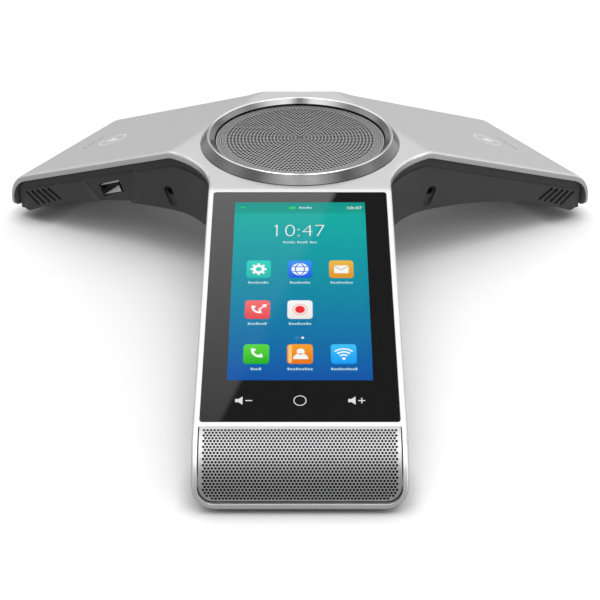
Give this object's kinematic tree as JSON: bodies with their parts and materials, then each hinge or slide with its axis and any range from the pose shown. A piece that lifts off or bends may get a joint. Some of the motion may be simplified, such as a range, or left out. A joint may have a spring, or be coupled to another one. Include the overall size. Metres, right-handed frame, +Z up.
{
  "type": "three-armed conference desk phone",
  "caption": "Three-armed conference desk phone with a round loudspeaker on the hub, a touch screen in the front arm and microphones in the arm tips.",
  "frame": {"origin": "on the desk plane, at the centre of the phone's footprint, in front of the loudspeaker's axis", "axes": "+Z up; the front arm with the touch screen points along -Y; the rear arms point to +X and -X, 30 degrees towards +Y"},
  "size_m": [0.3262, 0.3358, 0.072],
  "materials": {
    "silver_cover": "fine satin silver paint",
    "dark_housing": "fine moulded grain",
    "foot_rubber": "matte",
    "ring_metal": "polished, turned",
    "mesh_metal": "perforated, dark satin",
    "black_cloth": "fine acoustic cloth",
    "grille_metal": "perforated, satin",
    "screen_glass": "polished cover glass",
    "lit_display": "lit colour display",
    "sheet_steel": "rolled sheet",
    "circuit_board": "solder mask",
    "flex_film": "polyimide film",
    "connector_metal": "drawn, bright",
    "black_plastic": "moulded",
    "magnet_ferrite": "ground ferrite",
    "coil_copper": "enamelled copper wire",
    "cone_paper": "pressed pulp",
    "surround_rubber": "soft matte",
    "spider_fabric": "resin-dipped cloth",
    "lead_jacket": "wire insulation",
    "screw_steel": "blackened"
  },
  "bodies": {
    "housing": {"base_shell": "dark_housing", "bottom_cover": "dark_housing", "coil_spider": "spider_fabric", "cone_surround": "surround_rubber", "cover_screws": "screw_steel", "display_panel": "lit_display", "display_ribbon": "flex_film", "display_tray": "sheet_steel", "front_foot": "foot_rubber", "front_microphone": "connector_metal", "front_microphone_boot": "foot_rubber", "grille_cloth": "black_cloth", "left_extension_jack": "black_plastic", "left_foot": "foot_rubber", "left_microphone": "connector_metal", "left_microphone_boot": "foot_rubber", "left_mute_board": "circuit_board", "magnet_yoke": "sheet_steel", "main_board": "circuit_board", "network_board": "circuit_board", "network_jack": "black_plastic", "nose_grille": "grille_metal", "right_extension_jack": "black_plastic", "right_foot": "foot_rubber", "right_microphone": "connector_metal", "right_microphone_boot": "foot_rubber", "right_mute_board": "circuit_board", "ring_magnet": "magnet_ferrite", "shield_can": "sheet_steel", "socket_panel": "dark_housing", "speaker_basket": "black_plastic", "speaker_cloth": "black_cloth", "speaker_enclosure": "black_plastic", "speaker_gasket": "surround_rubber", "speaker_leads": "lead_jacket", "speaker_mesh": "mesh_metal", "speaker_ring": "ring_metal", "top_cover": "silver_cover", "top_plate": "sheet_steel", "touch_glass": "screen_glass", "touch_key_board": "circuit_board", "usb_board": "circuit_board", "usb_port": "connector_metal", "wireless_antenna": "flex_film"},
    "cone_assembly": {"voice_coil": "coil_copper", "speaker_cone": "cone_paper", "dust_cap": "cone_paper"}
  },
  "joints": [
    {"name": "cone_travel", "type": "slide", "parent": "housing", "child": "cone_assembly", "axis": [0, 0, 1], "range_m": [-0.002, 0.002], "stiffness_N_per_m": 1200, "deforming": ["cone_surround", "coil_spider"]}
  ]
}
